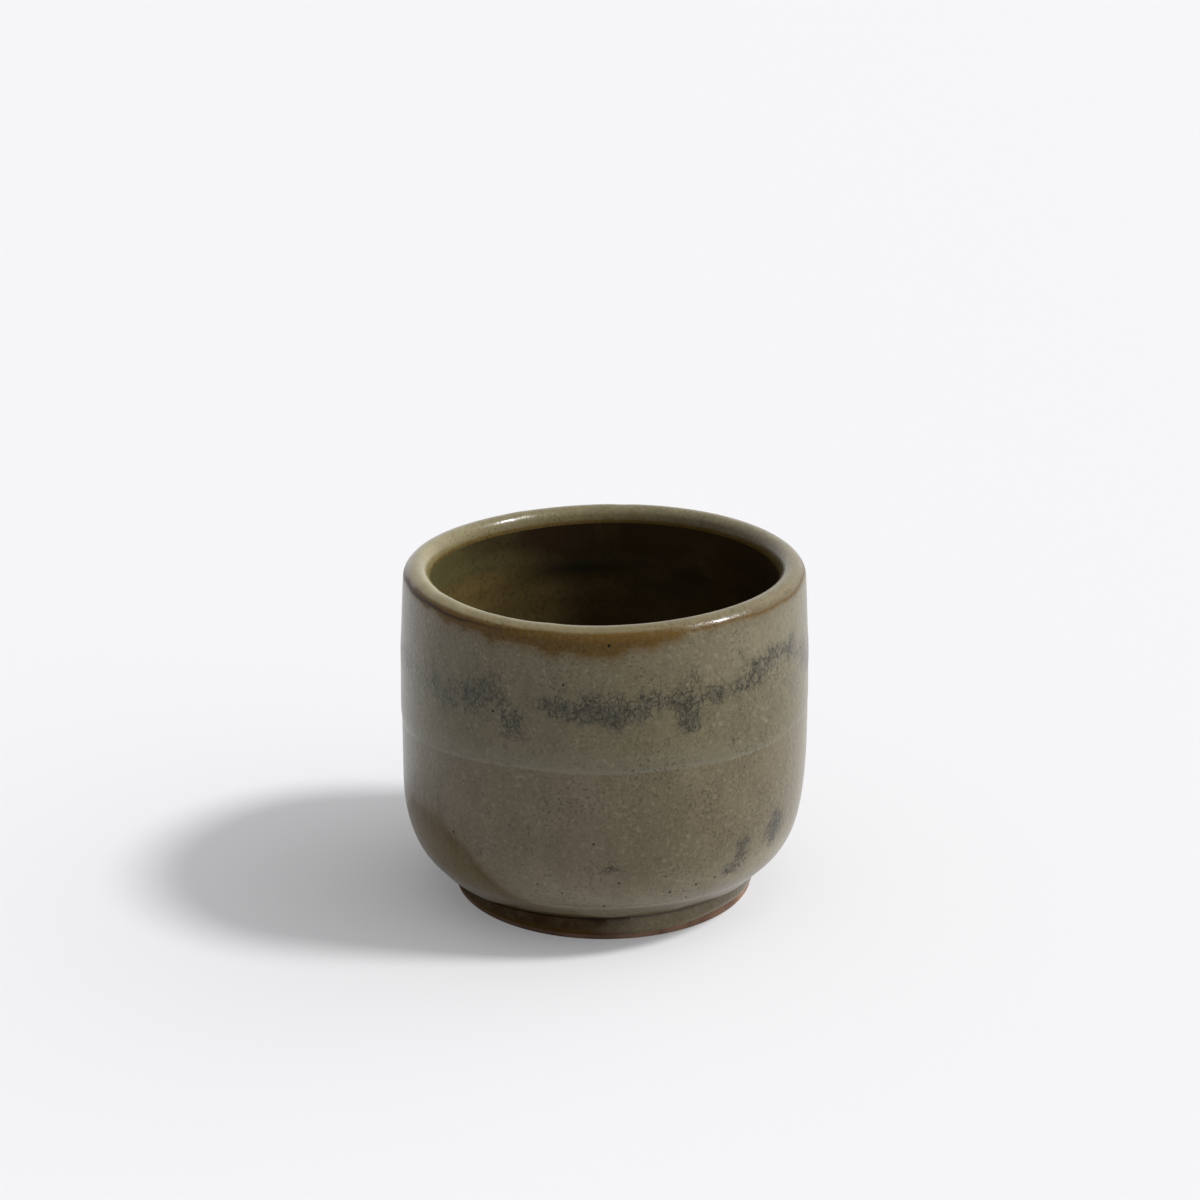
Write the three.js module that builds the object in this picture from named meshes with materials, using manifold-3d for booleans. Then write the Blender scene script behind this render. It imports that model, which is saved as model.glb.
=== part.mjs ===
// A handleless coffee cup: a thrown stoneware bowl luted to a foot ring, under three coats of glaze.
// Millimetres, +Z up, origin on the table at the cup's axis. Every piece is turned about that axis.
import * as THREE from "three";
import { mergeVertices } from "three/addons/utils/BufferGeometryUtils.js";
import Module from "manifold-3d";

// Fired clay, bowl
const BELLY_RADIUS = 39.35; // widest clay
const BELLY_HEIGHT = 33; // where the wall is widest
const RIM_RADIUS = 38.45; // outside, just under the lip
const CLAY_HEIGHT = 66.15; // crest of the lip
const LIP_WALL = 4.25; // wall at the lip
const BELLY_WALL = 4.6; // wall at the belly
const LIP_ROUND = 2.3; // round on the drinking side of the lip
const LIP_DROP = 2.8; // how far the lip rounds down on its inner side
const HEEL_RISE = 41; // degrees, slope of the underside where it leaves the foot
const HEEL_PULL = 8.8; // how far the underside holds that slope
const BELLY_PULL = 23; // how far the wall holds upright below the belly
const FLOOR_THICKNESS = 6.2;
const FLOOR_RADIUS = 15; // flat of the inside floor
const FLOOR_PULL = 12; // how far the inside corner holds flat
const CORNER_PULL = 18; // how far the inside corner holds upright
const HOLLOW = 0.8; // rise of the turned hollow under the floor

// Fired clay, foot ring
const FOOT_HEIGHT = 5;
const FOOT_RADIUS = 29.5; // outside, at the table
const FOOT_FLARE = 0.1; // how much wider the ring is where it meets the bowl
const FOOT_WIDTH = 5.2; // of the ring, at the table
const FOOT_SLOPE = 0.7; // how far the inside of the ring leans in towards the bowl
const FOOT_EDGE = 0.5; // softened edges of the ring

// Glaze coats
const BODY_GLAZE = 0.4; // over the whole outside and the lip
const LINER_GLAZE = 0.4; // over the whole inside
const DIP_GLAZE = 0.25; // second dip, over the upper half
const BARE_BAND = 0.6; // clay wiped clean above the foot's softened edge
const DIP_HEIGHT = 39; // mean height of the second dip's edge
const DIP_WANDER = 0.7; // most that the edge strays up or down
const DIP_TILT = 0.5; // most that the edge lies off level

// The edge's wander round the cup, as waves to the turn whose shares add up to one
const WANDER_WAVES = [
  { waves: 2, share: 0.5, lead: 0.6 },
  { waves: 5, share: 0.3, lead: 1.9 },
  { waves: 9, share: 0.2, lead: 0 },
];
const TILT_LEAD = 0.8;

// Facets
const SEGMENTS = 48;
const EDGE_SEGMENTS = 96;
const STEPS = { hollow: 4, heel: 9, wall: 4, lipOut: 5, lipIn: 5, inside: 3, corner: 7 };
const LIP_ROUND_SHARE = 0.8; // most of the lip's wall that its outer round may take
const SAME_POINT = 1e-4;

const wasm = await Module();
wasm.setup();

const vec = (r, z) => new THREE.Vector2(r, z);

// Places that more than one piece takes its shape from.
const seat = vec(FOOT_RADIUS + FOOT_FLARE, FOOT_HEIGHT);
const footInner = FOOT_RADIUS - FOOT_WIDTH;
const seatInner = vec(footInner - FOOT_SLOPE, FOOT_HEIGHT);

// Outline of the clay that is glazed, as one line: up the foot, over the lip, down the inside to the axis.
// `last` holds the index of each stretch's last point.
function clayOutline() {
  const lipOuter = Math.min(LIP_ROUND, LIP_WALL * LIP_ROUND_SHARE);
  const lipInner = LIP_WALL - lipOuter;
  const rimHeight = CLAY_HEIGHT - lipOuter;
  const floorHeight = FOOT_HEIGHT + FLOOR_THICKNESS;
  const wiped = vec(FOOT_RADIUS, FOOT_EDGE).lerp(seat, BARE_BAND / (FOOT_HEIGHT - FOOT_EDGE));
  const heelRise = THREE.MathUtils.degToRad(HEEL_RISE);
  const belly = vec(BELLY_RADIUS, BELLY_HEIGHT);
  const innerRim = vec(RIM_RADIUS - LIP_WALL, CLAY_HEIGHT - LIP_DROP);
  const innerBelly = vec(BELLY_RADIUS - BELLY_WALL, BELLY_HEIGHT);

  const stretches = {
    foot: [wiped],
    heel: new THREE.CubicBezierCurve(
      seat,
      vec(seat.x + HEEL_PULL * Math.cos(heelRise), seat.y + HEEL_PULL * Math.sin(heelRise)),
      vec(BELLY_RADIUS, BELLY_HEIGHT - BELLY_PULL),
      belly,
    ).getPoints(STEPS.heel),
    wall: new THREE.QuadraticBezierCurve(
      belly,
      vec(BELLY_RADIUS, (BELLY_HEIGHT + rimHeight) / 2),
      vec(RIM_RADIUS, rimHeight),
    ).getPoints(STEPS.wall),
    lipOut: new THREE.EllipseCurve(
      RIM_RADIUS - lipOuter, rimHeight, lipOuter, lipOuter, 0, Math.PI / 2,
    ).getPoints(STEPS.lipOut),
    lipIn: new THREE.EllipseCurve(
      innerRim.x + lipInner, innerRim.y, lipInner, LIP_DROP, Math.PI / 2, Math.PI,
    ).getPoints(STEPS.lipIn),
    inside: new THREE.QuadraticBezierCurve(
      innerRim,
      vec(innerBelly.x, (innerBelly.y + innerRim.y) / 2),
      innerBelly,
    ).getPoints(STEPS.inside),
    corner: new THREE.CubicBezierCurve(
      innerBelly,
      vec(innerBelly.x, innerBelly.y - CORNER_PULL),
      vec(FLOOR_RADIUS + FLOOR_PULL, floorHeight),
      vec(FLOOR_RADIUS, floorHeight),
    ).getPoints(STEPS.corner),
    floor: [vec(0, floorHeight)],
  };

  const points = [];
  const last = {};
  for (const [name, stretch] of Object.entries(stretches)) {
    for (const point of stretch) {
      if (!points.length || point.distanceTo(points.at(-1)) > SAME_POINT) points.push(point);
    }
    last[name] = points.length - 1;
  }
  return { points, last };
}

// Each point of a line moved out to the line's right by its own thickness, with mitred corners.
function coatOver(points, thickness) {
  const end = points.length - 1;
  const rightOf = (from, to) => vec(to.y - from.y, from.x - to.x).normalize();
  return points.map((point, i) => {
    const before = rightOf(points[Math.max(i - 1, 0)], points[Math.max(i, 1)]);
    const after = rightOf(points[Math.min(i, end - 1)], points[Math.min(i + 1, end)]);
    const mitre = before.clone().add(after).divideScalar(1 + before.dot(after));
    return point.clone().addScaledVector(mitre, thickness(i));
  });
}

// A solid turned about +Z from a profile that starts and ends on the axis.
function turned(profile, segments = SEGMENTS) {
  return new THREE.LatheGeometry(profile, segments).rotateX(Math.PI / 2);
}

// A ring turned about +Z from a profile that closes on itself.
function ring(profile, segments = SEGMENTS) {
  return turned([...profile, profile[0]], segments);
}

function solidOf(geometry) {
  const bare = geometry.clone().deleteAttribute("normal").deleteAttribute("uv");
  const merged = mergeVertices(bare, SAME_POINT);
  const vertProperties = merged.attributes.position.array;
  const triVerts = new Uint32Array(merged.index.array);
  return new wasm.Manifold(new wasm.Mesh({ numProp: 3, vertProperties, triVerts }));
}

function geometryOf(solid) {
  const mesh = solid.getMesh();
  return new THREE.BufferGeometry()
    .setAttribute("position", new THREE.BufferAttribute(mesh.vertProperties, 3))
    .setIndex(new THREE.BufferAttribute(mesh.triVerts, 1));
}

const { points: clay, last } = clayOutline();
const seatIndex = last.foot + 1; // where the bowl sits on the foot ring
const crestIndex = last.lipOut; // top of the lip
const lipEdgeIndex = last.lipIn; // where the outside coat meets the liner
const bodyFace = coatOver(clay, () => BODY_GLAZE);
const linerFace = coatOver(clay, () => LINER_GLAZE);

// Thrown bowl: outside, lip and inside in one line, and underneath a flat seat round a turned hollow.
function bowl() {
  const hollow = new THREE.QuadraticBezierCurve(
    vec(0, FOOT_HEIGHT + HOLLOW),
    vec(seatInner.x / 2, FOOT_HEIGHT + HOLLOW),
    seatInner,
  ).getPoints(STEPS.hollow);
  return turned([...hollow, ...clay.slice(seatIndex)]);
}

// Foot ring: flat on the table, flat under the bowl, flared outside, with softened edges.
function footRing() {
  return ring([
    vec(footInner + FOOT_EDGE, 0),
    vec(FOOT_RADIUS - FOOT_EDGE, 0),
    vec(FOOT_RADIUS, FOOT_EDGE),
    clay[last.foot],
    seat,
    seatInner,
    vec(footInner, FOOT_EDGE),
  ]);
}

// Body coat: from the wiped foot, over the joint and the wall, to the inner edge of the lip.
function bodyGlaze() {
  const under = clay.slice(0, lipEdgeIndex + 1);
  const over = bodyFace.slice(0, lipEdgeIndex + 1);
  return ring([...over, ...under.reverse()]);
}

// Liner coat: the inside wall and floor, from the inner edge of the lip to the axis.
function linerGlaze() {
  return turned([...clay.slice(lipEdgeIndex).reverse(), ...linerFace.slice(lipEdgeIndex)]);
}

// Height of the second dip's edge at an angle round the cup: nearly level, with a hand dip's slow wander.
function dipEdge(angle) {
  const tilt = DIP_TILT * Math.cos(angle + TILT_LEAD);
  const stray = WANDER_WAVES.reduce((sum, w) => sum + w.share * Math.sin(w.waves * angle + w.lead), 0);
  return DIP_HEIGHT + tilt + DIP_WANDER * stray;
}

// Everything below the second dip's edge, as a ring that takes in the wall and both its coats.
function belowDip() {
  const inner = BELLY_RADIUS - BELLY_WALL;
  const outer = BELLY_RADIUS + BELLY_WALL + BODY_GLAZE + DIP_GLAZE;
  const base = FOOT_HEIGHT;
  const below = ring([
    vec(inner, base),
    vec(outer, base),
    vec(outer, DIP_HEIGHT),
    vec(inner, DIP_HEIGHT),
  ], EDGE_SEGMENTS);
  const place = below.attributes.position;
  for (let i = 0; i < place.count; i++) {
    const isTop = place.getZ(i) > (base + DIP_HEIGHT) / 2;
    if (isTop) place.setZ(i, dipEdge(Math.atan2(place.getY(i), place.getX(i))));
  }
  return solidOf(below);
}

// Second dip: a thinner coat over the body coat, run out thin on the lip's crest, cut off along its edge.
function dipGlaze() {
  const lowest = DIP_HEIGHT - DIP_WANDER - DIP_TILT;
  const first = Math.max(bodyFace.findIndex((point) => point.y > lowest) - 1, 0);
  const under = bodyFace.slice(first, crestIndex + 1);
  const top = under.length - 1;
  const over = coatOver(under, (i) => (i < top ? DIP_GLAZE : 0));
  const coat = solidOf(ring([...over, ...under.slice(0, top).reverse()]));
  return geometryOf(coat.subtract(belowDip()));
}

const stoneware = () => new THREE.MeshStandardMaterial({ color: 0x8a6248, roughness: 0.9, metalness: 0 });
const glaze = (color, roughness) => new THREE.MeshStandardMaterial({ color, roughness, metalness: 0 });

const cup = new THREE.Group();
cup.name = "coffee_cup";

function addPiece(name, geometry, material) {
  const mesh = new THREE.Mesh(geometry, material);
  mesh.name = name;
  cup.add(mesh);
}

addPiece("bowl", bowl(), stoneware());
addPiece("foot_ring", footRing(), stoneware());
addPiece("body_glaze", bodyGlaze(), glaze(0x6f6855, 0.35));
addPiece("dip_glaze", dipGlaze(), glaze(0x76725f, 0.32));
addPiece("liner_glaze", linerGlaze(), glaze(0x675c42, 0.3));

export default cup;
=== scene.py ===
"""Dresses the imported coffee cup: hand-thrown stoneware under three coats of satin iron glaze.

Each piece is drawn as a half-section, spun about the cup's axis as on a wheel, and then given the lean, the
swell and the runs of glaze that set a hand-thrown cup apart from a turned solid. Sizes are millimetres and
angles are degrees round the axis from +X, where -90 faces the camera. Meshes are made in metres.
"""

import logging
import math
from dataclasses import dataclass, field
from enum import Enum
from functools import reduce
from typing import Any

import bpy
import numpy as np
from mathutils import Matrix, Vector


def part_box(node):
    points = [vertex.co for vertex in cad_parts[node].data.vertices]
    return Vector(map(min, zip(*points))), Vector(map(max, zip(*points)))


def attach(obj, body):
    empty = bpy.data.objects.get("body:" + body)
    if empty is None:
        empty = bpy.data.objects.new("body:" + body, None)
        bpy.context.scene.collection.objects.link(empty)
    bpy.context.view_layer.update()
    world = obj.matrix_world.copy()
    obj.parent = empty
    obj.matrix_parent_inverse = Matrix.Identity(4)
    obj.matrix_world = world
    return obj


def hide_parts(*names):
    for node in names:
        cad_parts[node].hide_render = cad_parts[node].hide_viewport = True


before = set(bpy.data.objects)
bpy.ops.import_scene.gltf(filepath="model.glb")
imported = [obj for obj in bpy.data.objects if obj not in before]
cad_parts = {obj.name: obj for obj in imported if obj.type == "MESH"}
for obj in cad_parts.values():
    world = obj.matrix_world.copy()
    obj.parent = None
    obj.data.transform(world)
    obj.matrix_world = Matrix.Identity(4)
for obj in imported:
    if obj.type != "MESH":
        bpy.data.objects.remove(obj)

MM = 0.001
BODY = "root"
IMAGE_PIXELS = 1200
SAME_POINT = 1e-6
WELD = 0.002 * MM
Array = np.ndarray
Material = bpy.types.Material
Socket = bpy.types.NodeSocket
Tree = bpy.types.NodeTree
Pair = tuple[float, float]
Wave = tuple[float, float, float]
log = logging.getLogger("coffee_cup")


class Node(Enum):
    """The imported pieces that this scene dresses."""

    BOWL = "bowl"
    FOOT_RING = "foot_ring"
    BODY_GLAZE = "body_glaze"
    DIP_GLAZE = "dip_glaze"
    LINER_GLAZE = "liner_glaze"


class Slot(Enum):
    """The record's material slots."""

    BOWL_CLAY = "bowl_clay"
    FOOT_CLAY = "foot_clay"
    BODY_GLAZE = "body_glaze"
    DIP_GLAZE = "dip_glaze"
    LINER_GLAZE = "liner_glaze"


class Mask(Enum):
    """Attributes painted on a piece: strengths from 0 to 1 or a little over, OVER_EDGE in millimetres."""

    RUNS = "runs"
    STAIN = "stain"
    IRON = "iron"
    # THIN: thin glaze, also painted shade on the lip's inner side and, inside, painted light on the lit side
    THIN = "thin"
    OVER_EDGE = "over_edge"
    # CREVICE: dark pooled glaze above the foot, deepened as painted shade on the shaded side
    CREVICE = "crevice"
    # FOOT: painted shade on the foot and the lip's inner side, away from the light, and the thin patch's
    # dark rim
    FOOT = "foot"
    # PALE: mostly painted light: the heel, the lit right side, the lit bare edge and a highlight on the
    # lip's edge
    PALE = "pale"
    # LIP: the lip's pale crest, paler to the left as painted reflection; inside, the band below the lip
    LIP = "lip"


def linear(hex_colour: str) -> tuple[float, float, float, float]:
    """Turns an sRGB hex colour into linear RGBA.

    Args:
        hex_colour: The colour as "#rrggbb".

    Returns:
        Linear red, green, blue and an alpha of one.
    """
    parts = [int(hex_colour[i:i + 2], 16) / 255 for i in (1, 3, 5)]
    toe, slope, offset, gamma = 0.04045, 12.92, 0.055, 2.4
    red, green, blue = [
        c / slope if c <= toe else ((c + offset) / (1 + offset)) ** gamma for c in parts
    ]
    return red, green, blue, 1.0


def smooth(value: Array, start: float, end: float) -> Array:
    """Smooth step that leaves 0 at start and reaches 1 at end."""
    share = np.clip((value - start) / (end - start), 0, 1)
    return share * share * (3 - 2 * share)


def between(pair: Pair, share: Array) -> Array:
    """What lies a share of the way from the first of a pair to the second."""
    return pair[0] + (pair[1] - pair[0]) * share


def bell(value: Array, centre: float, reach: float, power: int = 2) -> Array:
    """Soft bump: 1 at the centre, and down to 1/e at the reach."""
    return np.exp(-(((value - centre) / reach) ** power))


def turn_gap(angle: Array, centre: float) -> Array:
    """Degrees from a centre angle to each angle, the short way round."""
    return (angle - centre + 180) % 360 - 180


def ripple(angle: Array, *waves: Wave) -> Array:
    """Sum of waves round the cup, each with its height, its count to the turn and its phase in radians."""
    turn = np.radians(angle)
    return sum(rise * np.sin(count * turn + phase) for rise, count, phase in waves)


def bezier(controls: list[Pair], steps: int, crowd: float = 1.0) -> Array:
    """Points along a Bezier curve of any degree.

    Args:
        controls: Control points as radius and height.
        steps: How many steps the curve is cut into.
        crowd: Over 1, the points crowd towards the start.

    Returns:
        steps + 1 points as radius and height.
    """
    share = np.linspace(0, 1, steps + 1)[:, None] ** crowd
    level = [np.array(c, float)[None, :] for c in controls]
    while len(level) > 1:
        level = [a * (1 - share) + b * share for a, b in zip(level, level[1:])]
    return level[0]


def arc(centre: Pair, reach: Pair, start: float, end: float, steps: int) -> Array:
    """Points along an elliptical arc in the section.

    Args:
        centre: Radius and height of the arc's centre.
        reach: The arc's half-width and half-height.
        start: Angle of the first point, in degrees from the outward direction.
        end: Angle of the last point.
        steps: How many steps the arc is cut into.

    Returns:
        steps + 1 points as radius and height.
    """
    angle = np.radians(np.linspace(start, end, steps + 1))
    return np.column_stack([centre[0] + reach[0] * np.cos(angle), centre[1] + reach[1] * np.sin(angle)])


def joined(*stretches: Array) -> Array:
    """One line of points from several that follow on, without the points they share."""
    line = np.vstack(stretches)
    step = np.linalg.norm(np.diff(line, axis=0), axis=1)
    return line[np.concatenate([[True], step > SAME_POINT])]


def outward(line: Array) -> Array:
    """Mitred normals to the right of a line, long enough at corners to keep a coat's thickness.

    Args:
        line: Points as radius and height.

    Returns:
        One normal for each point.
    """
    step = np.diff(line, axis=0)
    side = np.column_stack([step[:, 1], -step[:, 0]])
    side /= np.linalg.norm(side, axis=1)[:, None]
    before = np.vstack([side[:1], side])
    after = np.vstack([side, side[-1:]])
    return (before + after) / (1 + (before * after).sum(axis=1))[:, None]


@dataclass
class ClaySizes:
    """Sizes of the fired clay, read from the frame where its boxes show them."""

    belly_height: float = 33.0
    rim_radius: float = 38.45
    lip_wall: float = 4.25
    belly_wall: float = 4.6
    lip_round: float = 2.3
    lip_drop: float = 2.8
    heel_rise: float = 41.0
    heel_pull: float = 8.8
    belly_pull: float = 23.0
    floor_radius: float = 15.0
    floor_pull: float = 12.0
    corner_pull: float = 18.0
    hollow: float = 0.8
    foot_flare: float = 0.1
    foot_width: float = 5.2
    foot_slope: float = 0.7
    foot_edge: float = 0.5
    belly_radius: float = field(init=False)
    crest_height: float = field(init=False)
    foot_height: float = field(init=False)
    foot_radius: float = field(init=False)
    floor_height: float = field(init=False)
    wiped_height: float = field(init=False)

    def __post_init__(self) -> None:
        """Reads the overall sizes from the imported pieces' boxes."""
        bowl_low, bowl_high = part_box(Node.BOWL.value)
        _, foot_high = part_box(Node.FOOT_RING.value)
        body_low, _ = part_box(Node.BODY_GLAZE.value)
        liner_low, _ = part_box(Node.LINER_GLAZE.value)
        self.belly_radius = bowl_high.x / MM
        self.crest_height = bowl_high.z / MM
        self.foot_height = bowl_low.z / MM
        self.foot_radius = foot_high.x / MM - self.foot_flare
        self.floor_height = liner_low.z / MM
        self.wiped_height = body_low.z / MM

    @property
    def seat(self) -> Pair:
        """Outer corner where the bowl sits on the foot ring."""
        return self.foot_radius + self.foot_flare, self.foot_height

    @property
    def inner_seat(self) -> Pair:
        """Inner corner where the bowl sits on the foot ring."""
        return self.foot_radius - self.foot_width - self.foot_slope, self.foot_height


class Stretch(Enum):
    """The stretches of the clay's glazed outline, from the wiped foot to the middle of the inside floor."""

    FOOT = 0
    HEEL = 1
    WALL = 2
    LIP_OUT = 3
    LIP_IN = 4
    INSIDE = 5
    CORNER = 6
    FLOOR = 7


@dataclass
class Outline:
    """The clay's glazed outline as one line: up the foot, over the lip and down the inside to the axis."""

    clay: ClaySizes
    line: Array = field(init=False)
    normal: Array = field(init=False)
    last: dict[Stretch, int] = field(init=False)

    HEEL_CROWD = 1.3
    STEPS = {
        Stretch.FOOT: 14,
        Stretch.HEEL: 60,
        Stretch.WALL: 44,
        Stretch.LIP_OUT: 18,
        Stretch.LIP_IN: 18,
        Stretch.INSIDE: 40,
        Stretch.CORNER: 44,
        Stretch.FLOOR: 12,
    }

    def __post_init__(self) -> None:
        """Draws the stretches and joins them."""
        drawn = self._stretches()
        lines: list[Array] = []
        self.last = {}
        for stretch in Stretch:
            lines.append(drawn[stretch])
            self.last[stretch] = len(joined(*lines)) - 1
        self.line = joined(*lines)
        self.normal = outward(self.line)

    def _stretches(self) -> dict[Stretch, Array]:
        """Draws each stretch of the outline, as points of radius and height."""
        c = self.clay
        rim_height = c.crest_height - c.lip_round
        inner_round = c.lip_wall - c.lip_round
        inner_rim = (c.rim_radius - c.lip_wall, c.crest_height - c.lip_drop)
        inner_belly = (c.belly_radius - c.belly_wall, c.belly_height)
        belly = (c.belly_radius, c.belly_height)
        floor = (c.floor_radius, c.floor_height)
        rise = math.radians(c.heel_rise)
        wiped_radius = c.foot_radius + c.foot_flare * c.wiped_height / c.foot_height
        leave = (c.seat[0] + c.heel_pull * math.cos(rise), c.seat[1] + c.heel_pull * math.sin(rise))
        curves = {
            Stretch.FOOT: [(wiped_radius, c.wiped_height), c.seat],
            Stretch.HEEL: [c.seat, leave, (c.belly_radius, c.belly_height - c.belly_pull), belly],
            Stretch.WALL: [
                belly, (c.belly_radius, (c.belly_height + rim_height) / 2), (c.rim_radius, rim_height)
            ],
            Stretch.INSIDE: [
                inner_rim, (inner_belly[0], (inner_belly[1] + inner_rim[1]) / 2), inner_belly
            ],
            Stretch.CORNER: [
                inner_belly,
                (inner_belly[0], inner_belly[1] - c.corner_pull),
                (c.floor_radius + c.floor_pull, c.floor_height),
                floor,
            ],
            Stretch.FLOOR: [floor, (0, c.floor_height)],
        }
        arcs = {
            Stretch.LIP_OUT: ((c.rim_radius - c.lip_round, rim_height), (c.lip_round, c.lip_round), 0, 90),
            Stretch.LIP_IN: ((inner_rim[0] + inner_round, inner_rim[1]), (inner_round, c.lip_drop), 90, 180),
        }
        crowd = {Stretch.HEEL: self.HEEL_CROWD}
        drawn = {s: bezier(curve, self.STEPS[s], crowd.get(s, 1.0)) for s, curve in curves.items()}
        drawn.update({s: arc(*shape, self.STEPS[s]) for s, shape in arcs.items()})
        return drawn


@dataclass(frozen=True)
class Hand:
    """How the thrown cup strays from a true turned one. The foot stays round and stands flat."""

    clay: ClaySizes
    rim_shift: float = 0.2
    rim_draw: float = 0.15
    swell: float = 0.5
    swell_turn: float = 180.0
    swell_height: float = 17.0
    swell_reach: float = 8.0
    swell_start: float = 3.0
    sag: float = 1.5
    sag_foot: float = 1.5
    sag_start: float = 1.0
    sag_top: float = 18.0
    sag_radius: float = 22.0
    mark_depth: float = 4.0
    glaze_depth: float = 0.5

    # Rise and fall of the lip, as cosine and sine of none, one, two and three waves to the turn
    LIP_WAVES = ((-0.15, 0.0), (0.28, 0.35), (0.2, 0.0), (-0.15, -0.08))
    # Marks that a finger left on the lip: angle, half-width and rise
    LIP_MARKS = ((119.0, 1.8, 0.07), (84.0, 1.6, -0.09), (-106.0, 2.2, 0.1), (-152.0, 2.5, -0.1))

    def bend(self, points: Array) -> Array:
        """Moves a true turned shape's points to where the hand left them.

        Args:
            points: Points in millimetres, one row each.

        Returns:
            The moved points.
        """
        c = self.clay
        turn = np.arctan2(points[:, 1], points[:, 0])
        height = points[:, 2]
        risen = smooth(height, c.foot_height, c.belly_height)
        upper = smooth(height, c.belly_height, c.crest_height)
        facing = np.clip(np.cos(turn - math.radians(self.swell_turn)), 0, 1) ** 2
        swell = self.swell * facing * bell(height, self.swell_height, self.swell_reach)
        swell *= smooth(height, c.foot_height, c.foot_height + self.swell_start)
        grow = 1 + (swell - self.rim_draw * upper) / c.belly_radius
        lift = sum(
            cosine * np.cos(waves * turn) + sine * np.sin(waves * turn)
            for waves, (cosine, sine) in enumerate(self.LIP_WAVES)
        )
        hang = self.sag * facing * smooth(height, self.sag_foot, c.foot_height)
        hang *= 1 - smooth(height, c.foot_height + self.sag_start, self.sag_top)
        hang *= smooth(np.hypot(points[:, 0], points[:, 1]), 0, self.sag_radius)
        moved = points.copy()
        moved[:, 0] = points[:, 0] * grow + self.rim_shift * risen
        moved[:, 1] = points[:, 1] * grow
        moved[:, 2] += lift * upper - hang
        on_lip = smooth(height, c.crest_height - self.mark_depth, c.crest_height)
        for place, half_width, rise in self.LIP_MARKS:
            across = np.radians(turn_gap(np.degrees(turn), place)) * c.rim_radius
            moved[:, 2] += rise * bell(across, 0, half_width) * on_lip
        return moved

    def pricks(
        self, outline: Outline, glaze_map: "GlazeMap"
    ) -> tuple[tuple[tuple[float, float, float], float], ...]:
        """Places the pinholes on the bent cup's glaze.

        Args:
            outline: The clay's outline.
            glaze_map: Where the pinholes are.

        Returns:
            Each hole's place in millimetres and the radius of its core.
        """
        last = outline.last[Stretch.LIP_OUT]
        line = (outline.line + self.glaze_depth * outline.normal)[:last]
        places = []
        for angle, height, core in glaze_map.PINHOLES:
            radius = np.interp(height, line[:, 1], line[:, 0])
            turn = math.radians(angle)
            true = np.array([[radius * math.cos(turn), radius * math.sin(turn), height]])
            places.append((tuple(float(v) for v in self.bend(true)[0]), core))
        return tuple(places)


@dataclass(frozen=True)
class Side:
    """A side of the cup: the angle at its middle, and how far round it reaches."""

    turn: float
    reach: float

    def at(self, angle: Array, power: int = 2) -> Array:
        """How far each angle belongs to this side, from 0 to 1, with a flatter top for a higher power."""
        return bell(turn_gap(angle, self.turn), 0, self.reach, power)


@dataclass(frozen=True)
class Blot:
    """A soft patch on the wall: where it is, and half its width, half its height and its strength."""

    turn: float
    height: float
    half_width: float
    half_height: float
    strength: float = 1.0

    def paint(self, angle: Array, height: Array, radius: float) -> Array:
        """Strength of the patch at each point of the wall.

        Args:
            angle: Angles round the cup.
            height: Heights on the cup.
            radius: Radius that turns an angle into a width.

        Returns:
            The patch's strength, from 0 to its own.
        """
        across = np.radians(turn_gap(angle, self.turn)) * radius / self.half_width
        along = (height - self.height) / self.half_height
        return self.strength * np.exp(-(across**2 + along**2))


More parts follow.
